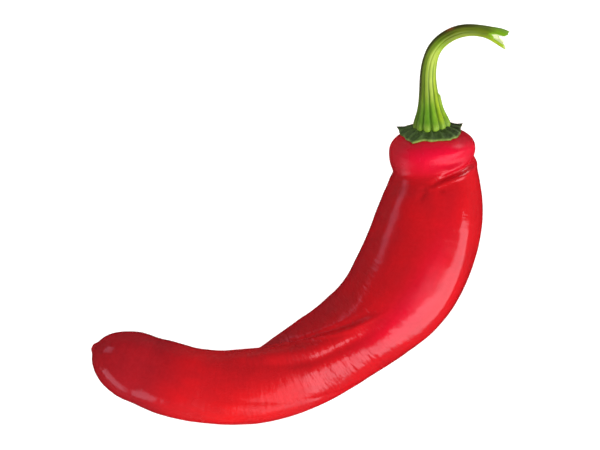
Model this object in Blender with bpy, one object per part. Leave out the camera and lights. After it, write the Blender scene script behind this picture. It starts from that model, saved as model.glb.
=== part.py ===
"""A red pointed pepper as picked, lying on a worktop: the fruit, its calyx and its stem.

Run it with: blender --background --python part.py

Frame: metres, +Z up. The origin is on the worktop, at the middle of the pepper's outline
seen from above. The stem leaves towards +Y and the fruit's tip points towards -X.

The fruit is a tube of changing width round a bent centre line. A point on its skin is named
by how far along that line it is, by its angle round it, and by its distance from it.
The angle is 0 on top, 90 on the outer side of the bend and -90 on the inner side.
"""

import math

import bmesh
import bpy
import numpy as np

MM = 0.001

# ---- Sizes, in millimetres ----
FRUIT_LENGTH = 164.0  # along the bent centre line
SHOULDER_WIDTH = 27.6  # the rolled rim next to the calyx
SHOULDER_DEPTH = 6.7  # from the calyx to the widest place of the rim
NECK_WIDTH = 27.6  # the pinched place behind the rim
BELLY_WIDTH = 35.2
BEND_WIDTH = 28.8
WAIST_WIDTH = 26.2
TIP_WIDTH = 22.0
TIP_DEPTH = 16.0  # the rounded end
FRUIT_FLATNESS = 0.94  # height of a section over its width
LOBE_DEPTH = 0.35  # the three lobes stand this far out of a round section, and in
SCAR_HEIGHT = 0.8  # the point left by the flower, at the tip
SCAR_WIDTH = 3.4

CALYX_REACH = 9.4  # from its middle to the middle of a side
CALYX_TOOTH = 1.2  # how much further the point of a tooth reaches
CALYX_THICKNESS = 1.3
CALYX_EDGE = 0.6  # its thickness at the rim
TOOTH_CURLS = (0.2, 1.8, 1.0, 2.2, 0.2)  # how far each tooth's point stands off the fruit

STEM_LENGTH = 50.5  # along its curve
STEM_BASE_WIDTH = 10.9
STEM_WIDTH = 5.0
STEM_TOP_WIDTH = 3.9  # past the curl
STEM_CUT_WIDTH = 5.9  # the flared end
STEM_CUT_HOLLOW = 0.8  # how far the cut face is sunk
STEM_RIBS = 9
STEM_RIB_DEPTH = 0.4

SEAT_GAP = 0.3  # between two pieces that touch
CONTACT_DEPTH = 0.3  # how much the skin gives where it lies on the worktop

# ---- Shapes ----
# The fruit's centre line from calyx to tip, seen from above. It is scaled to FRUIT_LENGTH.
FRUIT_ROUTE = (
    (43.3, 31.6),
    (43.8, 24.4),
    (44.5, 16.0),
    (41.7, -2.6),
    (33.1, -20.7),
    (18.9, -34.4),
    (2.3, -45.1),
    (-16.8, -50.9),
    (-36.3, -49.8),
    (-52.9, -44.4),
    (-65.2, -38.6),
)
# (share of the length, clear height under the fruit)
FRUIT_LIFT = (
    (0.0, 9.1),
    (0.05, 6.4),
    (0.1, 3.7),
    (0.15, 1.4),
    (0.2, 0.25),
    (0.26, 0.0),
    (0.34, 0.0),
    (0.5, 0.0),
    (0.8, 0.0),
    (1.0, 0.0),
)
# (share of the length, width) between the shoulder's rim and the rounded tip
FRUIT_WIDTHS = (
    (0.07, NECK_WIDTH),
    (0.13, 0.9 * BELLY_WIDTH),
    (0.23, BELLY_WIDTH),
    (0.33, 0.975 * BELLY_WIDTH),
    (0.39, 0.885 * BELLY_WIDTH),
    (0.45, BEND_WIDTH),
    (0.56, WAIST_WIDTH),
    (0.66, 0.95 * WAIST_WIDTH),
    (0.76, 0.9 * WAIST_WIDTH),
    (0.84, 0.89 * WAIST_WIDTH),
)
SHOULDER_SQUARENESS = 2.5  # 2 is an ellipse; more is a flatter end with a tighter rim
TIP_SQUARENESS = 2.0
# (share of the length, angle of the first groove between two lobes)
LOBE_GROOVE = ((0.0, 120.0), (0.4, 86.0), (0.52, 66.0), (0.64, 31.0), (0.8, 12.0), (1.0, 4.0))
LOBES = 3
# Each fold: half width, then its run as (share of the length, angle, depth). A ridge is a fold
# of negative depth.
FOLDS = {
    "shoulder_fold": (
        1.7,
        (
            (0.058, 120, 0.2),
            (0.059, 85, 0.6),
            (0.065, 55, 1.2),
            (0.075, 32, 1.4),
            (0.082, 18, 1.2),
            (0.095, 3, 0.5),
            (0.104, -8, 0.0),
        ),
    ),
    "shoulder_notch": (2.0, ((0.071, -58, 0.0), (0.071, -95, 1.1), (0.066, -150, 0.9), (0.062, -240, 0.2))),
    "bend_fold": (
        3.3,
        (
            (0.443, -24, 0.0),
            (0.50, -40, 0.6),
            (0.56, -57, 1.4),
            (0.62, -78, 1.8),
            (0.67, -98, 1.4),
            (0.72, -125, 0.7),
            (0.76, -150, 0.0),
        ),
    ),
    "bend_ridge": (
        3.2,
        ((0.46, 0, 0.0), (0.54, -21, -0.5), (0.62, -36, -0.7), (0.71, -52, -0.5), (0.8, -62, 0.0)),
    ),
    "inner_web": (
        6.0,
        ((0.42, -92, 0.0), (0.47, -94, -0.4), (0.53, -100, -1.1), (0.58, -112, -0.9), (0.62, -124, 0.0)),
    ),
    "inner_hollow": (6.0, ((0.26, -60, 0.0), (0.4, -55, 0.8), (0.5, -66, 1.0), (0.57, -84, 0.0))),
    "outer_groove": (
        2.2,
        (
            (0.44, 92, 0.0),
            (0.50, 82, 0.2),
            (0.55, 66, 0.25),
            (0.60, 48, 0.2),
            (0.65, 31, 0.15),
            (0.73, 18, 0.1),
            (0.82, 12, 0.0),
        ),
    ),
    "waist_ridge": (
        3.0,
        (
            (0.38, 2, 0.0),
            (0.44, -2, -0.4),
            (0.50, -12, -0.6),
            (0.56, -24, -0.6),
            (0.63, -40, -0.3),
            (0.72, -60, 0.0),
        ),
    ),
    "waist_groove": (
        2.0,
        (
            (0.38, 14, 0.0),
            (0.431, 8, 0.7),
            (0.467, 4, 1.0),
            (0.54, -4, 1.0),
            (0.604, -19, 0.8),
            (0.647, -29, 0.5),
            (0.74, -40, 0.0),
        ),
    ),
    "band_ridge": (
        5.0,
        (
            (0.13, 36, -0.4),
            (0.23, 50, -0.9),
            (0.30, 56, -1.1),
            (0.36, 60, -1.1),
            (0.42, 55, -0.6),
            (0.47, 48, 0.0),
        ),
    ),
    "waist_flat": (
        7.0,
        (
            (0.42, 46, 0.0),
            (0.47, 41, 0.5),
            (0.506, 38, 1.0),
            (0.549, 36, 1.3),
            (0.585, 32, 1.4),
            (0.63, 27, 0.7),
            (0.69, 22, 0.0),
        ),
    ),
}
# The stem's centre line from its seat: out along the calyx's axis, to the outer side, and up.
# It is scaled to STEM_LENGTH.
STEM_ROUTE = (
    (0.0, 0.0, 0.0),
    (4.6, -0.1, 0.0),
    (12.0, -0.1, -0.2),
    (18.8, 0.4, -0.6),
    (24.0, 2.3, -1.2),
    (27.5, 5.9, -1.9),
    (29.3, 10.8, -2.6),
    (29.4, 14.8, -2.9),
    (28.0, 20.8, -2.8),
    (25.7, 25.3, -2.4),
)
# (share of the length, width)
STEM_WIDTHS = (
    (0.0, STEM_BASE_WIDTH),
    (0.09, 0.78 * STEM_BASE_WIDTH),
    (0.165, 0.63 * STEM_BASE_WIDTH),
    (0.26, 1.12 * STEM_WIDTH),
    (0.38, STEM_WIDTH),
    (0.55, 0.9 * STEM_WIDTH),
    (0.76, STEM_TOP_WIDTH),
    (0.89, 1.1 * STEM_TOP_WIDTH),
    (1.0, STEM_CUT_WIDTH),
)
STEM_CUT_FLATNESS = 0.75  # the cut end's height over its width

# ---- Fineness of the meshes ----
FRUIT_SIDES = 40
SHOULDER_RINGS = 7
BODY_RINGS = 46
TIP_RINGS = 7
CALYX_SIDES = 50
CALYX_RINGS = 5
STEM_SIDES = 27
STEM_RINGS = 22
ROUTE_SAMPLES = 600


# ---- Curves ----
def spline(knots, values, at, level_ends=False):
    """The smooth curve through (knots, values), read at the places at. Its curvature is continuous."""
    x = np.asarray(knots, float)
    y = np.asarray(values, float).reshape(len(x), -1)
    step = np.diff(x)[:, None]
    rise = np.diff(y, axis=0)
    n = len(x)
    system = np.zeros((n, n))
    right = np.zeros_like(y)
    for i in range(1, n - 1):
        before, after = step[i - 1, 0], step[i, 0]
        system[i, i - 1 : i + 2] = 1 / before, 2 / before + 2 / after, 1 / after
        right[i] = 3 * (rise[i - 1] / before**2 + rise[i] / after**2)
    system[0, 0] = system[-1, -1] = 1.0
    if not level_ends:
        system[0, :2] = 2.0, 1.0
        system[-1, -2:] = 1.0, 2.0
        right[0] = 3 * rise[0] / step[0]
        right[-1] = 3 * rise[-1] / step[-1]
    slope = np.linalg.solve(system, right)
    at = np.asarray(at, float)
    i = np.clip(np.searchsorted(x, at) - 1, 0, n - 2)
    t = ((at - x[i]) / step[i, 0])[:, None]
    found = (
        y[i] * (1 + 2 * t) * (1 - t) ** 2
        + y[i + 1] * t**2 * (3 - 2 * t)
        + slope[i] * step[i] * t * (1 - t) ** 2
        - slope[i + 1] * step[i] * t**2 * (1 - t)
    )
    return found if np.ndim(values) > 1 else found[:, 0]


def table_spline(table, at, level_ends=False):
    """The smooth curve through a table of (share, value) pairs."""
    shares, values = zip(*table)
    return spline(shares, values, at, level_ends)


def unit(vectors):
    return vectors / np.linalg.norm(vectors, axis=-1, keepdims=True)


def lengths_along(points):
    return np.concatenate([[0.0], np.cumsum(np.linalg.norm(np.diff(points, axis=0), axis=1))])


class Route:
    """A smooth bent line of a given length, with the directions across it."""

    def __init__(self, points, length, up, heights=None):
        points = np.asarray(points, float)
        knots = lengths_along(points)
        fine = spline(knots, points, np.linspace(0, knots[-1], ROUTE_SAMPLES))
        fine = fine * length / lengths_along(fine)[-1]
        if heights is not None:
            shares = lengths_along(fine) / length
            fine = np.column_stack([fine, heights(shares)])
        self.length = length
        self.along = np.linspace(0, length, ROUTE_SAMPLES)
        self.points = fine
        self.tangents = unit(np.gradient(fine, axis=0))
        self.ups = unit(up - (self.tangents @ up)[:, None] * self.tangents)
        self.sides = np.cross(self.ups, self.tangents)

    def read(self, rows, along):
        return np.stack([np.interp(along, self.along, rows[:, k]) for k in range(3)], axis=-1)

    def place(self, along, angle, distance):
        """The point at that distance from the line, at that angle round it.

        The line runs straight on past its ends.
        """
        beyond = np.minimum(along, 0) + np.maximum(along - self.length, 0)
        tangent = unit(self.read(self.tangents, along))
        centre = self.read(self.points, along) + beyond[..., None] * tangent
        up = unit(self.read(self.ups, along))
        side = unit(self.read(self.sides, along))
        outwards = np.cos(angle)[..., None] * up + np.sin(angle)[..., None] * side
        return centre + distance[..., None] * outwards


# ---- The fruit's skin ----
def round_end(turn, width, depth, squareness):
    """(distance in from the end, radius) on a rounded end.

    The turn goes from 0 at its pole to 90 degrees at its rim.
    """
    power = 2 / squareness
    return depth * (1 - np.cos(turn) ** power), width / 2 * np.sin(turn) ** power


def body_width(share):
    shoulder = (SHOULDER_DEPTH / FRUIT_LENGTH, SHOULDER_WIDTH)
    tip = (1 - TIP_DEPTH / FRUIT_LENGTH, TIP_WIDTH)
    return table_spline((shoulder, *FRUIT_WIDTHS, tip), share, level_ends=True)


def fold_depth(name, along, angle, radius):
    """How deep the named fold is at a place on the skin, from its distance to the fold's run."""
    half_width, run = FOLDS[name]
    depth = np.zeros(np.broadcast(along, angle).shape)
    for (share_a, angle_a, depth_a), (share_b, angle_b, depth_b) in zip(run, run[1:]):
        middle = math.radians((angle_a + angle_b) / 2)
        turned = (angle - middle + math.pi) % (2 * math.pi) - math.pi
        x, y = along - share_a * FRUIT_LENGTH, (turned + middle - math.radians(angle_a)) * radius
        run_x = (share_b - share_a) * FRUIT_LENGTH
        run_y = math.radians(angle_b - angle_a) * radius
        t = np.clip((x * run_x + y * run_y) / np.maximum(run_x**2 + run_y**2, 1e-9), 0, 1)
        away = np.hypot(x - t * run_x, y - t * run_y)
        here = (depth_a + t * (depth_b - depth_a)) * np.exp(-((away / half_width) ** 2))
        depth = np.where(np.abs(here) > np.abs(depth), here, depth)
    return depth


def relief(along, angle, radius):
    """How far the skin stands out of a round section, from the lobes and the folds."""
    share = np.clip(along / FRUIT_LENGTH, 0, 1)
    groove = np.radians(table_spline(LOBE_GROOVE, share.ravel())).reshape(share.shape)
    fade = np.clip(radius / (TIP_WIDTH / 2), 0, 1) ** 2
    lobes = -LOBE_DEPTH * fade * np.cos(LOBES * (angle - groove))
    return lobes - sum(fold_depth(name, along, angle, radius) for name in FOLDS)


def flattened(angle):
    """The share of its radius that a section has at an angle, as the fruit is wider than it is high."""
    return np.hypot(np.sin(angle), np.cos(angle) * FRUIT_FLATNESS)


def scar(radius):
    """How far the small point at the tip stands out."""
    return SCAR_HEIGHT * np.exp(-((2 * radius / SCAR_WIDTH) ** 4))


def fruit_route():
    """The fruit's centre line.

    Its height is the fruit's reach under it plus the clear height under the fruit.
    """

    def heights(share):
        inside = np.clip(share, SHOULDER_DEPTH / FRUIT_LENGTH, 1 - TIP_DEPTH / FRUIT_LENGTH)
        return FRUIT_FLATNESS * body_width(inside) / 2 + table_spline(FRUIT_LIFT, share)

    return Route(FRUIT_ROUTE, FRUIT_LENGTH, np.array([0.0, 0.0, 1.0]), heights)


def skin(route, along, angle, radius):
    """A grid of points on the fruit, or on a layer round it."""
    return route.place(along, angle, (radius + relief(along, angle, radius)) * flattened(angle))


def angles(sides):
    return np.linspace(0, 2 * math.pi, sides, endpoint=False)


def fruit_rings(route):
    """The fruit's rings of points from calyx to tip, without the two poles."""
    turn = np.linspace(0, math.pi / 2, SHOULDER_RINGS + 1)[1:]
    shoulder_along, shoulder_radius = round_end(turn, SHOULDER_WIDTH, SHOULDER_DEPTH, SHOULDER_SQUARENESS)
    body_along = np.linspace(SHOULDER_DEPTH, FRUIT_LENGTH - TIP_DEPTH, BODY_RINGS)[1:-1]
    scar_turn = math.asin((SCAR_WIDTH / TIP_WIDTH) ** (TIP_SQUARENESS / 2))
    turn = np.append(np.linspace(math.pi / 2, 0, TIP_RINGS + 1)[:-1], scar_turn)
    tip_in, tip_radius = round_end(turn, TIP_WIDTH, TIP_DEPTH, TIP_SQUARENESS)
    along = np.concatenate([shoulder_along, body_along, FRUIT_LENGTH - tip_in])
    radius = np.concatenate([shoulder_radius, body_width(body_along / FRUIT_LENGTH) / 2, tip_radius])
    along = along + np.where(along > FRUIT_LENGTH / 2, scar(radius), 0)
    along, angle = np.meshgrid(along, angles(FRUIT_SIDES), indexing="ij")
    return skin(route, along, angle, np.repeat(radius[:, None], FRUIT_SIDES, axis=1))


# ---- The calyx, a layer on the fruit's end ----
def tooth(angle):
    """(which tooth an angle is in, how near the angle is to the tooth's point from 0 to 1)"""
    sector = 2 * math.pi / len(TOOTH_CURLS)
    turned = angle % (2 * math.pi)
    return (turned // sector).astype(int), 1 - np.abs(turned % sector / (sector / 2) - 1)


def calyx_layer(route, angle, share, height):
    """Points at a height above the fruit's end, a share of the way from its middle to the calyx's rim."""
    which, nearness = tooth(angle)
    radius = (CALYX_REACH + CALYX_TOOTH * nearness**3) * share
    height = height + np.array(TOOTH_CURLS)[which] * nearness**2 * share**6
    turn = np.arcsin((2 * radius / SHOULDER_WIDTH) ** (SHOULDER_SQUARENESS / 2))
    along, radius = round_end(turn, SHOULDER_WIDTH, SHOULDER_DEPTH, SHOULDER_SQUARENESS)
    facing_out = -np.abs(1 - along / SHOULDER_DEPTH) ** (SHOULDER_SQUARENESS - 1) / SHOULDER_DEPTH
    facing_side = (2 * radius / SHOULDER_WIDTH) ** (SHOULDER_SQUARENESS - 1) / (SHOULDER_WIDTH / 2)
    facing = np.hypot(facing_out, facing_side)
    return skin(route, along + height * facing_out / facing, angle, radius + height * facing_side / facing)


def calyx_rings(route):
    """The calyx's rings of points: out along its underside and back along its top."""
    angle = angles(CALYX_SIDES)
    shares = np.linspace(0, 1, CALYX_RINGS + 1)[1:]
    under = [calyx_layer(route, angle, s, np.full(CALYX_SIDES, SEAT_GAP)) for s in shares]
    top = []
    for s in shares[::-1]:
        thickness = CALYX_THICKNESS + (CALYX_EDGE - CALYX_THICKNESS) * s**3
        top.append(calyx_layer(route, angle, s, np.full(CALYX_SIDES, SEAT_GAP + thickness)))
    return np.array(under + top)


# ---- The stem ----
def stem_route(fruit):
    """The stem's centre line, from its seat on the calyx."""
    out, side, up = -fruit.tangents[0], fruit.sides[0], fruit.ups[0]
    seat = fruit.points[0] + out * (SEAT_GAP + CALYX_THICKNESS + SEAT_GAP)
    route = Route(np.array(STEM_ROUTE) @ np.array([out, side, up]), STEM_LENGTH, up)
    route.points = route.points + seat
    return route


def stem_rings(route):
    """The stem's rings from its seat to its cut end, then the ring round the sunk cut face."""
    share = np.linspace(0, 1, STEM_RINGS)
    radius = table_spline(STEM_WIDTHS, share, level_ends=True) / 2
    ribs = STEM_RIB_DEPTH * (1 - 0.7 * np.clip(share / 0.4, 0, 1))
    flatness = 1 + (STEM_CUT_FLATNESS - 1) * np.clip((share - 0.85) / 0.15, 0, 1)
    share = np.append(share, 1 - STEM_CUT_HOLLOW / STEM_LENGTH)
    radius = np.append(radius, 0.7 * radius[-1])
    ribs = np.append(ribs, ribs[-1])[:, None]
    flatness = np.append(flatness, flatness[-1])[:, None]
    along, angle = np.meshgrid(share * STEM_LENGTH, angles(STEM_SIDES), indexing="ij")
    distance = radius[:, None] - ribs * (0.5 - 0.5 * np.cos(STEM_RIBS * angle))
    return route.place(along, angle, distance * np.hypot(np.sin(angle), np.cos(angle) * flatness))


# ---- Blender objects ----
def material(name, colour, roughness):
    made = bpy.data.materials.new(name)
    made.use_nodes = True
    shader = made.node_tree.nodes["Principled BSDF"]
    shader.inputs["Base Color"].default_value = (*colour, 1.0)
    shader.inputs["Roughness"].default_value = roughness
    shader.inputs["Metallic"].default_value = 0.0
    return made


def solid_from_rings(name, rings, first_pole, last_pole, finish):
    """A closed object: each ring is bridged to the next, and a fan of faces closes each end."""
    bm = bmesh.new()
    loops = [[bm.verts.new(point * MM) for point in ring] for ring in rings]
    for ring, following in zip(loops, loops[1:]):
        for k in range(len(ring)):
            bm.faces.new((ring[k - 1], ring[k], following[k], following[k - 1]))
    for pole, ring in ((first_pole, loops[0]), (last_pole, loops[-1])):
        tip = bm.verts.new(pole * MM)
        for k in range(len(ring)):
            bm.faces.new((tip, ring[k], ring[k - 1]) if ring is loops[0] else (tip, ring[k - 1], ring[k]))
    bmesh.ops.recalc_face_normals(bm, faces=bm.faces)
    mesh = bpy.data.meshes.new(name)
    bm.to_mesh(mesh)
    bm.free()
    mesh.materials.append(finish)
    mesh.shade_smooth()
    made = bpy.data.objects.new(name, mesh)
    bpy.context.scene.collection.objects.link(made)
    return made


def worktop_cutter(rings):
    """A block under the worktop's surface. It presses the fruit flat where the two touch."""
    low, high = rings.min(axis=(0, 1)), rings.max(axis=(0, 1))
    margin = 10.0
    size = high - low + 2 * margin
    bm = bmesh.new()
    bmesh.ops.create_cube(bm, size=1.0)
    bmesh.ops.scale(bm, vec=(size[0] * MM, size[1] * MM, 2 * margin * MM), verts=bm.verts)
    mesh = bpy.data.meshes.new("worktop_cutter")
    bm.to_mesh(mesh)
    bm.free()
    made = bpy.data.objects.new("worktop_cutter", mesh)
    middle = (low + high) / 2
    made.location = (middle[0] * MM, middle[1] * MM, -margin * MM)
    made.hide_render = True
    made.display_type = "WIRE"
    bpy.context.scene.collection.objects.link(made)
    return made


def main():
    for old in list(bpy.data.objects):
        bpy.data.objects.remove(old)

    route = fruit_route()
    lowest = fruit_rings(route)[..., 2].min()
    route.points = route.points - np.array([0.0, 0.0, lowest + CONTACT_DEPTH])
    rings = fruit_rings(route)
    tip_end = route.points[-1] + route.tangents[-1] * scar(np.zeros(1))
    red = material("red_skin", (0.72, 0.01, 0.02), 0.25)
    fruit = solid_from_rings("fruit", rings, route.points[0], tip_end, red)

    layer = calyx_rings(route)
    out = -route.tangents[0]
    calyx_under = route.points[0] + out * SEAT_GAP
    calyx_top = calyx_under + out * CALYX_THICKNESS
    dark_green = material("calyx_green", (0.06, 0.12, 0.02), 0.5)
    calyx = solid_from_rings("calyx", layer, calyx_under, calyx_top, dark_green)

    line = stem_route(route)
    tube = stem_rings(line)
    seat = line.points[0]
    cut_face = line.points[-1] - line.tangents[-1] * STEM_CUT_HOLLOW
    green = material("stem_green", (0.30, 0.48, 0.07), 0.45)
    stem = solid_from_rings("stem", tube, seat, cut_face, green)

    cutter = worktop_cutter(rings)
    press = fruit.modifiers.new("press_flat", "BOOLEAN")
    press.operation = "DIFFERENCE"
    press.object = cutter

    # The origin is under the middle of the whole outline, so the pieces hang on an empty there.
    everything = np.concatenate([rings.reshape(-1, 3), layer.reshape(-1, 3), tube.reshape(-1, 3)])
    middle = (everything.min(axis=0) + everything.max(axis=0)) / 2
    pepper = bpy.data.objects.new("pepper", None)
    bpy.context.scene.collection.objects.link(pepper)
    pepper.location = (-middle[0] * MM, -middle[1] * MM, 0.0)
    for piece in (fruit, calyx, stem, cutter):
        piece.parent = pepper


main()
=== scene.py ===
"""The look of a red pointed pepper lying on a white surface: its skin, its calyx and its stem.

The pepper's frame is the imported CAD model's: metres, +Z up, the stem towards +Y and the tip towards -X.
The pieces are worked out in millimetres, on the same bent centre line as the CAD solids, and then put
where those solids are. A point on the skin is named by how far along that line it is, by its angle
round it (0 on top, 90 on the outer side of the bend, -90 on the inner side), and by its distance from it.
"""

import math

import bpy
import numpy as np
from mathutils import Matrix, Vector, noise


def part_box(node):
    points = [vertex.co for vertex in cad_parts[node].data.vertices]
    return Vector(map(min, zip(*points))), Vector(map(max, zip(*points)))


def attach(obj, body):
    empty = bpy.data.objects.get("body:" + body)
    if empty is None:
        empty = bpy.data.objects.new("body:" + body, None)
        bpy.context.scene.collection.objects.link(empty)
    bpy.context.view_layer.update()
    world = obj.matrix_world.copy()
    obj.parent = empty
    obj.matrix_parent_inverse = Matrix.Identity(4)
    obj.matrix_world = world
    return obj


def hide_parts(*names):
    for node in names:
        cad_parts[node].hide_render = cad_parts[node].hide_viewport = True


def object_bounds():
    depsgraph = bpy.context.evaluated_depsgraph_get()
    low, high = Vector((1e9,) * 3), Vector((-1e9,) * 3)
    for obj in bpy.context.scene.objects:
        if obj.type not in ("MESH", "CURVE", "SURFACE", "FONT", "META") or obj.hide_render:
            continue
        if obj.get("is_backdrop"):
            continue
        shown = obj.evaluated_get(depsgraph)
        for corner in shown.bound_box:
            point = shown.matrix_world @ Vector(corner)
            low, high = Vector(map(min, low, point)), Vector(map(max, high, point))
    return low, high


MM = 0.001

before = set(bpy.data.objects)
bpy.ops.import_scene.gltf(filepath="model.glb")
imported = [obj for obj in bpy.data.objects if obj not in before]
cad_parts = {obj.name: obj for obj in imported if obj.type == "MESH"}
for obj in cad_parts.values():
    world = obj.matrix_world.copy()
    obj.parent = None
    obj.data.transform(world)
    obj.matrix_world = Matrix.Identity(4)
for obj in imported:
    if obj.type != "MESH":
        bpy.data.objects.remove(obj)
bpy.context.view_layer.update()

# ---- Sizes, in millimetres ----
FRUIT_LENGTH = 164.0  # along the bent centre line
SHOULDER_WIDTH = 27.6  # the rolled rim next to the calyx
SHOULDER_DEPTH = 6.7  # from the calyx to the widest place of the rim
NECK_WIDTH = 27.6  # the pinched place behind the rim
BELLY_WIDTH = 35.2
BEND_WIDTH = 28.8
WAIST_WIDTH = 26.2
TIP_WIDTH = 22.0
TIP_DEPTH = 16.0  # the rounded end
FRUIT_FLATNESS = 0.94  # height of a section over its width
LOBE_DEPTH = 0.35  # the three lobes stand this far out of a round section, and in
SCAR_HEIGHT = 0.8  # the point left by the flower, at the tip
SCAR_WIDTH = 3.4

CALYX_REACH = 9.4  # from its middle to the middle of a side
CALYX_TOOTH = 1.2  # how much further the point of a tooth reaches
CALYX_THICKNESS = 1.3
CALYX_EDGE = 0.6  # its thickness at the rim
TOOTH_CURLS = (0.2, 1.8, 1.0, 2.2, 0.2)  # how far each tooth's point stands off the fruit

STEM_LENGTH = 50.5  # along its curve
STEM_BASE_WIDTH = 10.9
STEM_WIDTH = 5.0
STEM_TOP_WIDTH = 3.9  # past the curl
STEM_CUT_WIDTH = 5.9  # the flared end

SEAT_GAP = 0.3  # between two pieces that touch
CONTACT_DEPTH = 0.3  # how much the skin gives where it lies on the worktop

# ---- Shapes ----
# The fruit's centre line from calyx to tip, seen from above. It is scaled to FRUIT_LENGTH.
FRUIT_ROUTE = (
    (43.3, 31.6),
    (43.8, 24.4),
    (44.5, 16.0),
    (41.7, -2.6),
    (33.1, -20.7),
    (18.9, -34.4),
    (2.3, -45.1),
    (-16.8, -50.9),
    (-36.3, -49.8),
    (-52.9, -44.4),
    (-65.2, -38.6),
)
# (share of the length, clear height under the fruit)
FRUIT_LIFT = (
    (0.0, 9.1),
    (0.05, 6.4),
    (0.1, 3.7),
    (0.15, 1.4),
    (0.2, 0.25),
    (0.26, 0.0),
    (0.34, 0.0),
    (0.5, 0.0),
    (0.8, 0.0),
    (1.0, 0.0),
)
# (share of the length, width) between the shoulder's rim and the rounded tip
FRUIT_WIDTHS = (
    (0.07, NECK_WIDTH),
    (0.13, 0.9 * BELLY_WIDTH),
    (0.23, BELLY_WIDTH),
    (0.33, 0.975 * BELLY_WIDTH),
    (0.39, 0.885 * BELLY_WIDTH),
    (0.45, BEND_WIDTH),
    (0.56, WAIST_WIDTH),
    (0.66, 0.95 * WAIST_WIDTH),
    (0.76, 0.9 * WAIST_WIDTH),
    (0.84, 0.89 * WAIST_WIDTH),
)
SHOULDER_SQUARENESS = 2.5  # 2 is an ellipse; more is a flatter end with a tighter rim
TIP_SQUARENESS = 2.0
# (share of the length, angle of the first groove between two lobes)
LOBE_GROOVE = ((0.0, 120.0), (0.4, 86.0), (0.52, 66.0), (0.64, 31.0), (0.8, 12.0), (1.0, 4.0))
LOBES = 3
# Each fold: half width, then its run as (share of the length, angle, depth). A ridge is a fold
# of negative depth.
FOLDS = {
    "shoulder_fold": (
        1.7,
        (
            (0.058, 120, 0.2),
            (0.059, 85, 0.6),
            (0.065, 55, 1.2),
            (0.075, 32, 1.4),
            (0.082, 18, 1.2),
            (0.095, 3, 0.5),
            (0.104, -8, 0.0),
        ),
    ),
    "shoulder_notch": (2.0, ((0.071, -58, 0.0), (0.071, -95, 1.1), (0.066, -150, 0.9), (0.062, -240, 0.2))),
    "bend_fold": (
        3.3,
        (
            (0.443, -24, 0.0),
            (0.50, -40, 0.6),
            (0.56, -57, 1.4),
            (0.62, -78, 1.8),
            (0.67, -98, 1.4),
            (0.72, -125, 0.7),
            (0.76, -150, 0.0),
        ),
    ),
    "bend_ridge": (
        3.2,
        ((0.46, 0, 0.0), (0.54, -21, -0.5), (0.62, -36, -0.7), (0.71, -52, -0.5), (0.8, -62, 0.0)),
    ),
    "inner_web": (
        6.0,
        ((0.42, -92, 0.0), (0.47, -94, -0.4), (0.53, -100, -1.1), (0.58, -112, -0.9), (0.62, -124, 0.0)),
    ),
    "inner_hollow": (6.0, ((0.26, -60, 0.0), (0.4, -55, 0.8), (0.5, -66, 1.0), (0.57, -84, 0.0))),
    "outer_groove": (
        2.2,
        (
            (0.44, 92, 0.0),
            (0.50, 82, 0.2),
            (0.55, 66, 0.25),
            (0.60, 48, 0.2),
            (0.65, 31, 0.15),
            (0.73, 18, 0.1),
            (0.82, 12, 0.0),
        ),
    ),
    "waist_ridge": (
        3.0,
        (
            (0.38, 2, 0.0),
            (0.44, -2, -0.4),
            (0.50, -12, -0.6),
            (0.56, -24, -0.6),
            (0.63, -40, -0.3),
            (0.72, -60, 0.0),
        ),
    ),
    "waist_groove": (
        2.0,
        (
            (0.38, 14, 0.0),
            (0.431, 8, 0.7),
            (0.467, 4, 1.0),
            (0.54, -4, 1.0),
            (0.604, -19, 0.8),
            (0.647, -29, 0.5),
            (0.74, -40, 0.0),
        ),
    ),
    "band_ridge": (
        5.0,
        (
            (0.13, 36, -0.4),
            (0.23, 50, -0.9),
            (0.30, 56, -1.1),
            (0.36, 60, -1.1),
            (0.42, 55, -0.6),
            (0.47, 48, 0.0),
        ),
    ),
    "waist_flat": (
        7.0,
        (
            (0.42, 46, 0.0),
            (0.47, 41, 0.5),
            (0.506, 38, 1.0),
            (0.549, 36, 1.3),
            (0.585, 32, 1.4),
            (0.63, 27, 0.7),
            (0.69, 22, 0.0),
        ),
    ),
}
# The stem's centre line from its seat: out along the calyx's axis, to the outer side, and up.
# It is scaled to STEM_LENGTH.
STEM_ROUTE = (
    (0.0, 0.0, 0.0),
    (4.6, -0.1, 0.0),
    (12.0, -0.1, -0.2),
    (18.8, 0.4, -0.6),
    (24.0, 2.3, -1.2),
    (27.5, 5.9, -1.9),
    (29.3, 10.8, -2.6),
    (29.4, 14.8, -2.9),
    (28.0, 20.8, -2.8),
    (25.7, 25.3, -2.4),
)
# (share of the length, width)
STEM_WIDTHS = (
    (0.0, STEM_BASE_WIDTH),
    (0.09, 0.78 * STEM_BASE_WIDTH),
    (0.165, 0.63 * STEM_BASE_WIDTH),
    (0.26, 1.12 * STEM_WIDTH),
    (0.38, STEM_WIDTH),
    (0.55, 0.9 * STEM_WIDTH),
    (0.76, STEM_TOP_WIDTH),
    (0.89, 1.1 * STEM_TOP_WIDTH),
    (1.0, STEM_CUT_WIDTH),
)
STEM_CUT_FLATNESS = 0.75  # the cut end's height over its width
ROUTE_SAMPLES = 600


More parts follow.
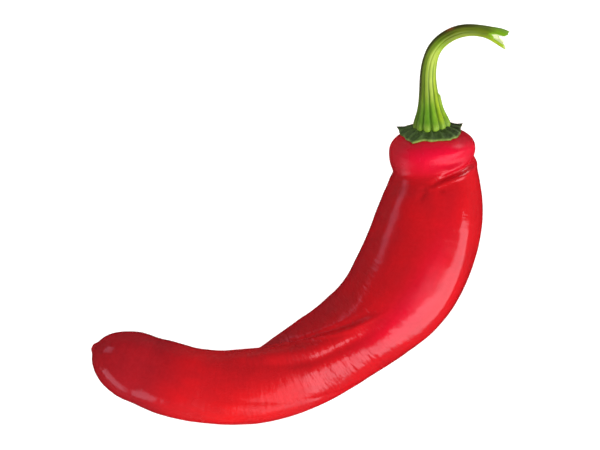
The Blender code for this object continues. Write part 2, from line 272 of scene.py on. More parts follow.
# ---- Curves ----
def spline(knots, values, at, level_ends=False):
    """The smooth curve through (knots, values), read at the places at. Its curvature is continuous."""
    x = np.asarray(knots, float)
    y = np.asarray(values, float).reshape(len(x), -1)
    step = np.diff(x)[:, None]
    climb = np.diff(y, axis=0)
    n = len(x)
    system = np.zeros((n, n))
    right = np.zeros_like(y)
    for i in range(1, n - 1):
        before, after = step[i - 1, 0], step[i, 0]
        system[i, i - 1 : i + 2] = 1 / before, 2 / before + 2 / after, 1 / after
        right[i] = 3 * (climb[i - 1] / before**2 + climb[i] / after**2)
    system[0, 0] = system[-1, -1] = 1.0
    if not level_ends:
        system[0, :2] = 2.0, 1.0
        system[-1, -2:] = 1.0, 2.0
        right[0] = 3 * climb[0] / step[0]
        right[-1] = 3 * climb[-1] / step[-1]
    slope = np.linalg.solve(system, right)
    at = np.asarray(at, float)
    i = np.clip(np.searchsorted(x, at) - 1, 0, n - 2)
    t = ((at - x[i]) / step[i, 0])[:, None]
    found = (
        y[i] * (1 + 2 * t) * (1 - t) ** 2
        + y[i + 1] * t**2 * (3 - 2 * t)
        + slope[i] * step[i] * t * (1 - t) ** 2
        - slope[i + 1] * step[i] * t**2 * (1 - t)
    )
    return found if np.ndim(values) > 1 else found[:, 0]


def table_spline(table, at, level_ends=False):
    """The smooth curve through a table of (share, value) pairs."""
    shares, values = zip(*table)
    return spline(shares, values, at, level_ends)


def unit(vectors):
    return vectors / np.linalg.norm(vectors, axis=-1, keepdims=True)


def lengths_along(points):
    return np.concatenate([[0.0], np.cumsum(np.linalg.norm(np.diff(points, axis=0), axis=1))])


class Route:
    """A smooth bent line of a given length, with the directions across it."""

    def __init__(self, points, length, up, heights=None):
        points = np.asarray(points, float)
        knots = lengths_along(points)
        fine = spline(knots, points, np.linspace(0, knots[-1], ROUTE_SAMPLES))
        fine = fine * length / lengths_along(fine)[-1]
        if heights is not None:
            shares = lengths_along(fine) / length
            fine = np.column_stack([fine, heights(shares)])
        self.length = length
        self.along = np.linspace(0, length, ROUTE_SAMPLES)
        self.points = fine
        self.tangents = unit(np.gradient(fine, axis=0))
        self.ups = unit(up - (self.tangents @ up)[:, None] * self.tangents)
        self.sides = np.cross(self.ups, self.tangents)

    def read(self, rows, along):
        return np.stack([np.interp(along, self.along, rows[:, k]) for k in range(3)], axis=-1)

    def place(self, along, angle, distance):
        """The point at that distance from the line, at that angle round it.

        The line runs straight on past its ends.
        """
        beyond = np.minimum(along, 0) + np.maximum(along - self.length, 0)
        tangent = unit(self.read(self.tangents, along))
        centre = self.read(self.points, along) + beyond[..., None] * tangent
        up = unit(self.read(self.ups, along))
        side = unit(self.read(self.sides, along))
        outwards = np.cos(angle)[..., None] * up + np.sin(angle)[..., None] * side
        return centre + distance[..., None] * outwards


# ---- The fruit's skin ----
def round_end(turn, width, depth, squareness):
    """(distance in from the end, radius) on a rounded end.

    The turn goes from 0 at its pole to 90 degrees at its rim.
    """
    power = 2 / squareness
    return depth * (1 - np.cos(turn) ** power), width / 2 * np.sin(turn) ** power


def body_width(share):
    shoulder = (SHOULDER_DEPTH / FRUIT_LENGTH, SHOULDER_WIDTH)
    tip = (1 - TIP_DEPTH / FRUIT_LENGTH, TIP_WIDTH)
    return table_spline((shoulder, *FRUIT_WIDTHS, tip), share, level_ends=True)


def fold_depth(name, along, angle, radius, folds=FOLDS):
    """How deep the named fold is at a place on the skin, from its distance to the fold's run."""
    half_width, run = folds[name]
    depth = np.zeros(np.broadcast(along, angle).shape)
    for (share_a, angle_a, depth_a), (share_b, angle_b, depth_b) in zip(run, run[1:]):
        middle = math.radians((angle_a + angle_b) / 2)
        past_middle = (angle - middle + math.pi) % (2 * math.pi) - math.pi
        x = along - share_a * FRUIT_LENGTH
        y = (past_middle + middle - math.radians(angle_a)) * radius
        run_x = (share_b - share_a) * FRUIT_LENGTH
        run_y = math.radians(angle_b - angle_a) * radius
        t = np.clip((x * run_x + y * run_y) / np.maximum(run_x**2 + run_y**2, 1e-9), 0, 1)
        away = np.hypot(x - t * run_x, y - t * run_y)
        here = (depth_a + t * (depth_b - depth_a)) * np.exp(-((away / half_width) ** 2))
        depth = np.where(np.abs(here) > np.abs(depth), here, depth)
    return depth


def relief(along, angle, radius):
    """How far the skin stands out of a round section, from the lobes and the folds."""
    share = np.clip(along / FRUIT_LENGTH, 0, 1)
    groove = np.radians(table_spline(LOBE_GROOVE, share.ravel())).reshape(share.shape)
    fade = np.clip(radius / (TIP_WIDTH / 2), 0, 1) ** 2
    lobes = -LOBE_DEPTH * fade * np.cos(LOBES * (angle - groove))
    return lobes - sum(fold_depth(name, along, angle, radius) for name in FOLDS)


def flattened(angle):
    """The share of its radius that a section has at an angle, as the fruit is wider than it is high."""
    return np.hypot(np.sin(angle), np.cos(angle) * FRUIT_FLATNESS)


def scar(radius):
    """How far the small point at the tip stands out."""
    return SCAR_HEIGHT * np.exp(-((2 * radius / SCAR_WIDTH) ** 4))


def fruit_route():
    """The fruit's centre line.

    Its height is the fruit's reach under it plus the clear height under the fruit.
    """

    def heights(share):
        inside = np.clip(share, SHOULDER_DEPTH / FRUIT_LENGTH, 1 - TIP_DEPTH / FRUIT_LENGTH)
        return FRUIT_FLATNESS * body_width(inside) / 2 + table_spline(FRUIT_LIFT, share)

    return Route(FRUIT_ROUTE, FRUIT_LENGTH, np.array([0.0, 0.0, 1.0]), heights)


def skin(route, along, angle, radius):
    """A grid of points on the fruit, or on a layer round it."""
    return route.place(along, angle, (radius + relief(along, angle, radius)) * flattened(angle))


def angles(sides):
    return np.linspace(0, 2 * math.pi, sides, endpoint=False)


# ---- What only the visible skin has ----
# Each fine fold, as in FOLDS: half width, then its run as (share of the length, angle, depth).
FINE_FOLDS = {
    "collar_swelling": (2.4, ((0.018, 70, -0.2), (0.02, 40, -0.5), (0.022, 8, -0.5), (0.022, -30, 0.0))),
    "shoulder_crease": (
        1.6,
        (
            (0.04, 75, 0.0),
            (0.042, 52, 0.35),
            (0.046, 38, 0.6),
            (0.048, 22, 0.65),
            (0.045, 6, 0.5),
            (0.042, -14, 0.0),
        ),
    ),
    "crease_lip": (
        1.0,
        (
            (0.05, 66, 0.0),
            (0.055, 42, -0.3),
            (0.058, 24, -0.4),
            (0.055, 8, -0.25),
            (0.053, -8, 0.0),
        ),
    ),
    "shoulder_lip": (
        1.0,
        (
            (0.069, 96, -0.3),
            (0.075, 55, -0.8),
            (0.085, 31, -0.9),
            (0.092, 17, -0.85),
            (0.106, 0, -0.6),
            (0.114, -12, 0.0),
        ),
    ),
    "neck_dimple": (1.2, ((0.114, -16, 0.5), (0.12, -13, 0.45))),
    "neck_dimple_low": (1.1, ((0.129, -17, 0.45), (0.131, -17, 0.45))),
    "neck_dimple_right": (1.0, ((0.102, -2, 0.5), (0.104, 0, 0.5))),
    "neck_dimple_middle": (1.1, ((0.111, 7, 0.5), (0.113, 9, 0.5))),
    "bend_crease": (
        1.3,
        (
            (0.36, -8, 0.0),
            (0.40, -12, 0.3),
            (0.44, -17, 0.6),
            (0.478, -27, 0.8),
            (0.507, -37, 0.9),
            (0.555, -52, 1.0),
            (0.609, -84, 1.0),
            (0.638, -102, 0.5),
            (0.66, -115, 0.0),
        ),
    ),
    "bend_lip": (
        0.9,
        (
            (0.35, 6, 0.0),
            (0.40, -3, -0.45),
            (0.441, -9, -0.6),
            (0.478, -19, -0.7),
            (0.507, -29, -0.75),
            (0.555, -44, -0.8),
            (0.609, -74, -0.7),
            (0.638, -92, -0.4),
            (0.66, -104, 0.0),
        ),
    ),
    "outer_crease": (
        0.8,
        (
            (0.5, 84, 0.0),
            (0.55, 70, 0.2),
            (0.6, 54, 0.2),
            (0.66, 34, 0.18),
            (0.73, 18, 0.0),
        ),
    ),
    "tip_swelling": (5.0, ((0.80, -70, 0.0), (0.86, -80, -0.5), (0.92, -84, -0.5), (0.95, -80, 0.0))),
    "tip_dent": (3.0, ((0.90, 30, 0.35), (0.945, 12, 0.35))),
}
# Undulations of the skin: (length of wave along the fruit, length round it, height)
UNDULATIONS = ((16.0, 12.0, 0.16), (5.5, 6.5, 0.10), (2.4, 4.5, 0.04))

# The skin's mesh
SHOULDER_RINGS = 44
BODY_RINGS = 262
TIP_RINGS = 40
FRUIT_SIDES = 224
POLE_SINK = 0.05  # how far the middle of the shoulder's end is sunk
POLE_FADE = 6  # the undulations fade out where the radius is less


def undulation(points, lengths, height, seed):
    """A smooth random height at each point, with the given lengths of wave along x, y and z."""
    scaled = np.asarray(points).reshape(-1, 3) / np.array(lengths) + seed
    found = [noise.noise(Vector(p)) for p in scaled]
    return height * np.array(found).reshape(np.shape(points)[:-1])


def on_the_skin(along, angle, radius):
    """The place on an unbent fruit, for noise that has no seam."""
    return np.stack([along, radius * np.sin(angle), radius * np.cos(angle)], axis=-1)


def detail(along, angle, radius):
    """What the visible skin adds to the CAD's."""
    fine = -sum(fold_depth(name, along, angle, radius, FINE_FOLDS) for name in FINE_FOLDS)
    fade = np.clip(radius / POLE_FADE, 0, 1)
    places = on_the_skin(along, angle, radius)
    for seed, (length, turn, height) in enumerate(UNDULATIONS):
        fine = fine + fade * undulation(places, (length, turn, turn), height, 11.3 * seed + 3.1)
    return fine


def fruit_rings(route):
    """The fruit's rings of points from calyx to tip, and the (along, angle, radius) of each point."""
    turn = np.linspace(0, math.pi / 2, SHOULDER_RINGS + 1)[1:]
    shoulder_along, shoulder_radius = round_end(turn, SHOULDER_WIDTH, SHOULDER_DEPTH, SHOULDER_SQUARENESS)
    body_along = np.linspace(SHOULDER_DEPTH, FRUIT_LENGTH - TIP_DEPTH, BODY_RINGS)[1:-1]
    turn = np.linspace(math.pi / 2, 0, TIP_RINGS + 1)[:-1]
    tip_in, tip_radius = round_end(turn, TIP_WIDTH, TIP_DEPTH, TIP_SQUARENESS)
    along = np.concatenate([shoulder_along, body_along, FRUIT_LENGTH - tip_in])
    radius = np.concatenate([shoulder_radius, body_width(body_along / FRUIT_LENGTH) / 2, tip_radius])
    along = along + np.where(along > FRUIT_LENGTH / 2, scar(radius), 0)
    along, angle = np.meshgrid(along, angles(FRUIT_SIDES), indexing="ij")
    radius = np.repeat(radius[:, None], FRUIT_SIDES, axis=1)
    return fine_skin(route, along, angle, radius), along, angle, radius


def fine_skin(route, along, angle, radius):
    """A grid of points on the visible skin, with its fine detail."""
    stands = radius + relief(along, angle, radius) + detail(along, angle, radius)
    return route.place(along, angle, stands * flattened(angle))


# ---- Meshes ----
def solid(name, rings, poles, attributes):
    """A closed object of rings bridged in order, with a fan of faces to a pole at each end.

    Each attribute is given per ring point. A pole has the mean of the ring next to it.
    """
    count, sides = rings.shape[:2]
    points = np.concatenate([rings.reshape(-1, 3), np.array(poles)])
    ring, k = np.meshgrid(np.arange(count - 1), np.arange(sides), indexing="ij")
    following = (k + 1) % sides
    here, beyond = ring * sides, (ring + 1) * sides
    quads = np.stack([here + k, here + following, beyond + following, beyond + k], axis=-1)
    faces = quads.reshape(-1, 4).tolist()
    first, last = count * sides, count * sides + 1
    start = (count - 1) * sides
    for i in range(sides):
        faces.append((first, (i + 1) % sides, i))
        faces.append((last, start + i, start + (i + 1) % sides))
    mesh = bpy.data.meshes.new(name)
    mesh.from_pydata((points * MM).tolist(), [], faces)
    mesh.validate()
    # Faces that look inwards are turned over.
    four = (points - points.mean(axis=0))[quads.reshape(-1, 4)]
    facing = np.cross(four[:, 2] - four[:, 0], four[:, 3] - four[:, 1])
    if (facing * four.mean(axis=1)).sum() < 0:
        mesh.flip_normals()
    mesh.shade_smooth()
    for key, values in attributes.items():
        values = np.asarray(values, float)
        wide = values.ndim == 3
        flat = values.reshape(-1, 3) if wide else values.reshape(-1)
        ends = np.array([values[0].mean(axis=0), values[-1].mean(axis=0)])
        layer = mesh.attributes.new(key, "FLOAT_VECTOR" if wide else "FLOAT", "POINT")
        everything = np.concatenate([flat, ends]).astype(np.float32).ravel()
        layer.data.foreach_set("vector" if wide else "value", everything)
    made = bpy.data.objects.new(name, mesh)
    bpy.context.scene.collection.objects.link(made)
    return made


def linear(*colour):
    """The linear colour of an sRGB colour from 0 to 255."""
    c = np.array(colour) / 255
    return np.where(c <= 0.04045, c / 12.92, ((c + 0.055) / 1.055) ** 2.4)


def bump(x, middle, width):
    """1 at the middle, smooth to 0 some two widths away."""
    return np.exp(-(((x - middle) / width) ** 2))


def turned(angle, middle):
    """An angle's distance from a middle given in degrees, in degrees from -180 to 180."""
    return (np.degrees(angle) - middle + 180) % 360 - 180


def rise(x, low, high):
    """0 below low, 1 above high, smooth between."""
    t = np.clip((x - low) / (high - low), 0, 1)
    return t * t * (3 - 2 * t)


def blend(base, layers):
    """Colours laid over a base colour, each by its own share from 0 to 1."""
    shape = np.broadcast(*[share for share, _ in layers]).shape
    made = np.broadcast_to(np.array(base, float), (*shape, 3)).copy()
    for share, colour in layers:
        share = np.broadcast_to(share, shape)[..., None]
        made = made * (1 - share) + colour * share
    return made


# ---- The fruit ----
SKIN_MID = linear(204, 22, 30)
# Painted sheen: brighter crimson with the tinge of a bluish reflection
SKIN_PAINTED_SHEEN = linear(236, 8, 54)
SKIN_ORANGE = linear(220, 20, 24)
# Painted shade: the inner side of the bend, which faces away from the light, is painted darker
SKIN_PAINTED_SHADE = linear(152, 28, 36)
SKIN_TIP = linear(164, 29, 38)
# (share of the length, angle) of the edge of the painted shade, darker skin, on the inner side of the bend
PAINTED_SHADE_EDGE = (
    (0.05, -34),
    (0.12, -34),
    (0.3, -22),
    (0.42, -14),
    (0.5, -30),
    (0.6, -74),
    (0.68, -100),
    (0.8, -80),
    (1.0, -60),
)
# Distances along the fruit between which the skin's gloss changes
COLLAR_DULL_ENDS = (7.5, 13.0)
WAIST_DULL_STARTS = (92.5, 98.5)
WAIST_DULL_ENDS = (124.0, 140.0)
WAIST_DULLNESS = 0.9  # of the collar's
LINED_PLACE, LINED_SPREAD = 0.50, 0.14  # shares of the length where fine lines run round the fruit


def skin_tint(along, angle):
    """The skin's colour: brighter crimson on the collar and the bend as a painted sheen, darker on the inner
    side as painted shade, and darker on the tip.
    """
    share = along / FRUIT_LENGTH
    past_edge = -turned(angle, np.interp(share, *zip(*PAINTED_SHADE_EDGE)))
    underneath = 1 - rise(past_edge, 110, 165)
    # Painted shade: darker skin on the inner side of the bend, away from the light
    painted_shade = rise(past_edge, -9, 14) * underneath * rise(-turned(angle, -178), -178, -20)
    painted_shade = painted_shade * rise(share, 0.02, 0.12)
    tip = rise(share, 0.80, 0.88)
    # Painted sheen: brighter crimson on the collar and on the lit side of the bend
    collar = bump(share, 0.03, 0.035) * bump(turned(angle, 10), 0, 75)
    bend = bump(share, 0.33, 0.12) * bump(turned(angle, 22), 0, 18)
    painted_sheen = np.maximum(collar, bend * 0.6)
    orange = bump(share, 0.70, 0.12) * bump(turned(angle, 50), 0, 42)
    return blend(
        SKIN_MID,
        (
            (0.9 * painted_sheen, SKIN_PAINTED_SHEEN),
            (0.8 * orange, SKIN_ORANGE),
            (0.85 * painted_shade, SKIN_PAINTED_SHADE),
            (0.75 * tip, SKIN_TIP),
        ),
    )


def dullness(along):
    """How dull the skin is: 1 on the collar, 0 where it is glossy."""
    collar = 1 - rise(along, *COLLAR_DULL_ENDS)
    waist = WAIST_DULLNESS * rise(along, *WAIST_DULL_STARTS) * (1 - rise(along, *WAIST_DULL_ENDS))
    return np.maximum(collar, waist)


def build_fruit(route):
    rings, along, angle, radius = fruit_rings(route)
    # The skin gives where it lies on the surface.
    rings[..., 2] = np.maximum(rings[..., 2], 0)
    tip_end = route.points[-1] + route.tangents[-1] * scar(np.zeros(1))
    start = route.points[0] + route.tangents[0] * POLE_SINK
    attributes = {
        "tint": skin_tint(along, angle),
        "place": on_the_skin(along, angle, radius),
        "dull": dullness(along),
        "lined": bump(along / FRUIT_LENGTH, LINED_PLACE, LINED_SPREAD),
    }
    return solid("fruit_skin", rings, (start, tip_end), attributes)


# ---- The calyx, a layer on the fruit's end ----
CALYX_SIDES = 300
CALYX_SHARES = 34  # rings from its middle to its rim
CALYX_SINK = 0.25  # how far its underside is sunk into the skin
CALYX_DROOP = 0.45  # how much lower its rim is
RIM_LIFT = 0.02  # how far the underside of the rim is off the skin
VEINS_PER_TOOTH = 3
VEIN_HEIGHT = 0.3
CRINKLE_LENGTH, CRINKLE_HEIGHT = 1.9, 0.3
SHORT_TOOTH, SHORT_BY = 1, 0.7  # the tooth on the right, and how much shorter it is
CALYX_GREEN = linear(72, 98, 40)
CALYX_DARK = linear(52, 58, 26)
CALYX_VEIN = linear(104, 134, 66)
CALYX_RIM = linear(150, 176, 84)


def tooth(angle):
    """(which tooth an angle is in, how near the angle is to the tooth's point from 0 to 1)"""
    sector = 2 * math.pi / len(TOOTH_CURLS)
    turned_angle = angle % (2 * math.pi)
    return (turned_angle // sector).astype(int), 1 - np.abs(turned_angle % sector / (sector / 2) - 1)


def calyx_layer(route, angle, share, height):
    """Points at a height above the fruit's end, a share of the way from its middle to the calyx's rim."""
    which, nearness = tooth(angle)
    wave = 0.22 * np.sin(7 * angle + 0.6) + 0.14 * np.sin(13 * angle + 2.1)
    reach = CALYX_TOOTH - SHORT_BY * (which == SHORT_TOOTH)
    radius = (CALYX_REACH + wave + reach * nearness**3) * share
    height = height + np.array(TOOTH_CURLS)[which] * nearness**2 * share**6
    turn = np.arcsin((2 * radius / SHOULDER_WIDTH) ** (SHOULDER_SQUARENESS / 2))
    along, radius = round_end(turn, SHOULDER_WIDTH, SHOULDER_DEPTH, SHOULDER_SQUARENESS)
    facing_out = -np.abs(1 - along / SHOULDER_DEPTH) ** (SHOULDER_SQUARENESS - 1) / SHOULDER_DEPTH
    facing_side = (2 * radius / SHOULDER_WIDTH) ** (SHOULDER_SQUARENESS - 1) / (SHOULDER_WIDTH / 2)
    facing = np.hypot(facing_out, facing_side)
    lifted = radius + height * facing_side / facing
    stands = lifted + relief(along, angle, radius) + detail(along, angle, radius)
    return route.place(along + height * facing_out / facing, angle, stands * flattened(angle))


def calyx_places(share, angle):
    """The place on a calyx laid flat, for noise."""
    x, y = share * CALYX_REACH * np.sin(angle), share * CALYX_REACH * np.cos(angle)
    return np.stack([x, y, 0 * x], axis=-1)


def build_calyx(route):
    angle = angles(CALYX_SIDES)
    shares = np.linspace(0, 1, CALYX_SHARES + 1)[1:]
    veins = (0.5 + 0.5 * np.cos(VEINS_PER_TOOTH * len(TOOTH_CURLS) * angle)) ** 4
    rings = []
    for share in shares:
        under = np.full(CALYX_SIDES, -CALYX_SINK * (1 - share**4) + RIM_LIFT)
        rings.append(calyx_layer(route, angle, share, under))
    for share in shares[::-1]:
        thickness = CALYX_THICKNESS + (CALYX_EDGE - CALYX_THICKNESS) * share**3
        ridge = VEIN_HEIGHT * veins * rise(share, 0.3, 0.55) * (1 - rise(share, 0.85, 1.0))
        places = calyx_places(share, angle)
        crinkle = undulation(places, [CRINKLE_LENGTH] * 3, CRINKLE_HEIGHT, 5.7)
        crinkle = crinkle * rise(share, 0.35, 0.7) * (1 - 0.6 * rise(share, 0.9, 1.0))
        top = SEAT_GAP + thickness - CALYX_DROOP * share**3 + ridge + crinkle
        rings.append(calyx_layer(route, angle, share, top))
    out, around = np.meshgrid(np.concatenate([shares, shares[::-1]]), angle, indexing="ij")
    on_top = np.arange(len(out)) >= CALYX_SHARES
    vein = veins * on_top[:, None]
    axis = -route.tangents[0]
    under = route.points[0] - axis * CALYX_SINK
    top = route.points[0] + axis * (SEAT_GAP + CALYX_THICKNESS)
    left = bump(turned(around, 110), 0, 60)
    right = bump(turned(around, -60), 0, 30)
    tint = blend(
        CALYX_GREEN,
        (
            (0.75 * left, CALYX_DARK),
            (0.5 * vein * rise(out, 0.3, 0.6), CALYX_VEIN),
            (0.3 * right, CALYX_VEIN),
            (0.9 * rise(out, 0.955, 0.985) * bump(turned(around, 0), 0, 80), CALYX_RIM),
        ),
    )
    attributes = {"tint": tint, "place": calyx_places(out, around)}
    return solid("calyx_leaves", np.array(rings), (under, top), attributes)


# ---- The stem ----
STEM_SIDES = 176
STEM_RINGS = 190
STEM_RIBS_SEEN = 11
STEM_SEAT = 1.3  # how far its foot is sunk into the calyx
NOTCH_DEPTH = 4.4  # between the two prongs of its torn end
NOTCH_START = 0.86  # share of the length where the end starts to be pulled back
NOTCH_BACK = 0.3  # how far back the prongs' points are
PRONG_REACH = 1.5  # how much further the lower prong reaches
# The tissue in the torn end: (share of the radius, share of the notch that is left, distance in)
TORN_TISSUE = (
    (0.93, 1.0, 0.05),
    (0.84, 1.0, 0.3),
    (0.74, 0.9, 0.5),
    (0.68, 0.6, 0.6),
    (0.62, 0.35, 0.8),
    (0.5, 0.3, 1.4),
    (0.3, 0.3, 2.2),
)
TISSUE_ROUGHNESS = 0.25
TISSUE_DEPTH = 3.6  # of its middle, in from the end
STEM_MID = linear(134, 168, 28)
STEM_LOW = linear(112, 168, 38)
STEM_PALE = linear(205, 218, 100)
STEM_TOP = linear(98, 104, 14)
# Painted light: brighter yellow-green on the side of the stem that faces the light
STEM_PAINTED_LIGHT = linear(184, 204, 10)
STEM_END = linear(128, 184, 10)
STEM_PRONG = linear(208, 224, 40)
# Painted shade: darker green in the grooves between the ribs
STEM_GROOVE_SHADE = linear(56, 92, 18)
# Brown, partly the stem's own colour and partly painted shade on the side away from the light
STEM_BROWN_AND_SHADE = linear(70, 62, 14)
STEM_SPOT = linear(176, 78, 10)
STEM_CUT = linear(236, 236, 200)


def stem_route(fruit):
    """The stem's centre line, from its seat on the calyx."""
    out, side, up = -fruit.tangents[0], fruit.sides[0], fruit.ups[0]
    seat = fruit.points[0] + out * (SEAT_GAP + CALYX_THICKNESS + SEAT_GAP)
    route = Route(np.array(STEM_ROUTE) @ np.array([out, side, up]), STEM_LENGTH, up)
    route.points = route.points + seat
    return route


def rib_profile(share, angle):
    """(0 in a groove to 1 on a rib, how deep the grooves are)"""
    wander = 0.35 * np.sin(2 * angle + 1.3) + 0.25 * np.sin(3 * angle + 4.0) + 0.5 * share
    wave = np.abs(np.sin((STEM_RIBS_SEEN * angle + wander) / 2))
    depth = 0.62 * (1 - rise(share, 0.0, 0.32)) + 0.2 * (1 - rise(share, 0.6, 0.9))
    return 1 - (1 - wave) ** 1.6, depth


def torn_places(angle, level=0.0):
    """The places round the torn end, for noise."""
    return np.stack([3 * np.sin(angle), 3 * np.cos(angle), 0 * angle + level], axis=-1)


def with_tissue(rows):
    """A value of every ring, with the last ring's again for each ring of the torn tissue."""
    return np.concatenate([rows, np.repeat(rows[-1:], len(TORN_TISSUE), axis=0)])


def patch(share, angle, middle, spread, starts, ends=None):
    """1 on a patch of the stem and 0 off it. It starts and ends between shares of the length."""
    amount = bump(turned(angle, middle), 0, spread) * rise(share, *starts)
    return amount if ends is None else amount * (1 - rise(share, *ends))


def stem_tint(share, angle, rib, cut):
    """The stem's colour: brighter yellow on the curl's inner side and the right of its foot as painted
    light, brown on its outer side that is partly painted shade, darker in the grooves near the foot as
    painted shade, pale where torn.
    """
    low = 1 - rise(share, 0.08, 0.22)
    pale = patch(share, angle, -15, 38, (0.12, 0.26), (0.46, 0.56))
    upper = rise(share, 0.52, 0.62) * (1 - rise(share, 0.86, 0.95))
    # Painted light: the curl's inner side and the right of the foot, which face the light, are painted
    # brighter and yellower
    inner_painted_light = patch(share, angle, -85, 50, (0.3, 0.45))
    foot_painted_light = patch(share, angle, -52, 26, (0.0, 0.05), (0.3, 0.42))
    end = rise(share, 0.86, 0.97)
    prong = patch(share, angle, -75, 50, (0.84, 0.92))
    # Painted shade: darker in the grooves between the ribs near the foot
    groove = (1 - rib) * (1 - rise(share, 0.25, 0.5))
    foot_end = (1 - rise(share * STEM_LENGTH, 0.4, 2.2)) * rib
    # Brown on the curl's outer side: partly the stem's own colour, partly painted shade
    outer_brown_and_shade = bump(turned(angle, 72), 0, 33) * (0.5 + 0.5 * rise(share, 0.12, 0.3))
    outer_brown_and_shade = outer_brown_and_shade * (1 - rise(share, 0.74, 0.86))
    spot = bump(share, 0.645, 0.022) * bump(turned(angle, 78), 0, 22)
    return blend(
        STEM_MID,
        (
            (0.8 * low, STEM_LOW),
            (0.7 * pale, STEM_PALE),
            (0.75 * upper, STEM_TOP),
            (0.8 * inner_painted_light, STEM_PAINTED_LIGHT),
            (0.75 * foot_painted_light, STEM_PAINTED_LIGHT),
            (0.6 * end, STEM_END),
            (0.8 * prong, STEM_PRONG),
            (0.85 * groove, STEM_GROOVE_SHADE),
            (0.3 * foot_end, STEM_PALE),
            (0.9 * outer_brown_and_shade, STEM_BROWN_AND_SHADE),
            (0.9 * spot, STEM_SPOT),
            (0.95 * cut, STEM_CUT),
        ),
    )


def build_stem(route):
    shares = np.linspace(-STEM_SEAT / STEM_LENGTH, 1, STEM_RINGS)
    share, angle = np.meshgrid(shares, angles(STEM_SIDES), indexing="ij")
    inside = np.clip(share, 0, 1)
    radius = table_spline(STEM_WIDTHS, inside.ravel(), level_ends=True).reshape(inside.shape) / 2
    rib, depth = rib_profile(share, angle)
    flatness = 1 + (STEM_CUT_FLATNESS - 1) * np.clip((share - 0.85) / 0.15, 0, 1)
    places = on_the_skin(share * STEM_LENGTH, angle, radius)
    # The lower fifth is thicker on its right. The foot spreads on the calyx, most in front.
    step = 0.55 * rise(-share, -0.205, -0.185) * bump(turned(angle, -84), 0, 16)
    flare = 0.3 + 0.35 * bump(turned(angle, 4), 0, 26)
    foot = flare * bump(share * STEM_LENGTH, 0.1, 1.2) * rib
    stands = radius - depth * (1 - rib) + step + foot
    stands = stands + undulation(places, (9.0, 2.4, 2.4), 0.16, 8.8)

    # The torn end: two prongs, with paler tissue between them.
    notch = NOTCH_DEPTH * rise(np.abs(np.cos(angle)), 0.80, 0.99)
    ragged = undulation(torn_places(angle[:1]), (0.8, 0.8, 0.8), 0.9, 2.2)
    edge = ragged - PRONG_REACH * bump(turned(angle, -90), 0, 55)
    along = share * STEM_LENGTH - rise(share, NOTCH_START, 1.0) * (notch + NOTCH_BACK + edge)
    rings = [route.place(along, angle, stands * np.hypot(np.sin(angle), np.cos(angle) * flatness))]
    around, notch, edge = angle[-1:], notch[-1:], edge[-1:]
    reach = stands[-1:] * np.hypot(np.sin(around), np.cos(around) * flatness[-1:])
    for narrower, kept, back in TORN_TISSUE:
        rough = undulation(torn_places(around, narrower), (0.5, 0.5, 0.5), 1.0, 7.7)
        torn = STEM_LENGTH - (notch * kept + NOTCH_BACK + edge * kept) - back
        rings.append(route.place(torn + TISSUE_ROUGHNESS * rough, around, reach * narrower))
    cut = np.concatenate([np.zeros_like(share), np.ones((len(TORN_TISSUE), STEM_SIDES))])
    share, angle, rib, places = (with_tissue(rows) for rows in (share, angle, rib, places))
    seat = route.points[0] - route.tangents[0] * STEM_SEAT
    pole = route.points[-1] - route.tangents[-1] * TISSUE_DEPTH
    attributes = {"tint": stem_tint(share, angle, rib, cut), "place": places, "cut": cut}
    return solid("stem_stalk", np.concatenate(rings), (seat, pole), attributes)


# ---- Materials ----
def shader_of(name, roughness, **sockets):
    """A material, a function that adds a node, and one that feeds a socket of the shader."""
    made = bpy.data.materials.new(name)
    made.use_nodes = True
    tree = made.node_tree
    shader = tree.nodes["Principled BSDF"]
    shader.inputs["Roughness"].default_value = roughness
    for socket, value in sockets.items():
        shader.inputs[socket.replace("_", " ")].default_value = value

    def add(kind, settings=(), **inputs):
        """A node with settings and inputs. An input is keyed by its name, or by i and its number."""
        node = tree.nodes.new(kind)
        for key, value in dict(settings).items():
            setattr(node, key, value)
        for key, value in inputs.items():
            numbered = key[0] == "i" and key[1:].isdigit()
            socket = node.inputs[int(key[1:]) if numbered else key.replace("_", " ")]
            if isinstance(value, bpy.types.NodeSocket):
                tree.links.new(value, socket)
            else:
                socket.default_value = value
        return node

    def feed(socket, value):
        tree.links.new(value, shader.inputs[socket])

    return made, add, feed


def attribute(add, name, output="Fac"):
    return add("ShaderNodeAttribute", {"attribute_name": name}).outputs[output]


def noise_of(add, scale, detail):
    """Noise in the piece's own places, with a scale along it and across it, per millimetre."""
    place = attribute(add, "place", "Vector")
    scaled = add("ShaderNodeVectorMath", {"operation": "MULTIPLY"}, i0=place, i1=scale)
    made = add("ShaderNodeTexNoise", Vector=scaled.outputs["Vector"], Scale=1.0, Detail=detail)
    return made.outputs["Fac"]


def mapped(add, value, low, high, start, end):
    """A value that goes from start to end as another goes from low to high."""
    limits = {"From_Min": low, "From_Max": high, "To_Min": start, "To_Max": end}
    return add("ShaderNodeMapRange", Value=value, **limits).outputs["Result"]


def bumped(add, height, strength, distance, **normal):
    made = add("ShaderNodeBump", Height=height, Strength=strength, Distance=distance, **normal)
    return made.outputs["Normal"]


def varied(add, colour, factor, darker, share):
    """A colour multiplied by a darker one as a factor goes from 0 to 1."""
    amount = mapped(add, factor, 0.35, 0.65, 0.0, share)
    settings = {"data_type": "RGBA", "blend_type": "MULTIPLY"}
    return add("ShaderNodeMix", settings, i0=amount, i6=colour, i7=(*darker, 1.0)).outputs[2]


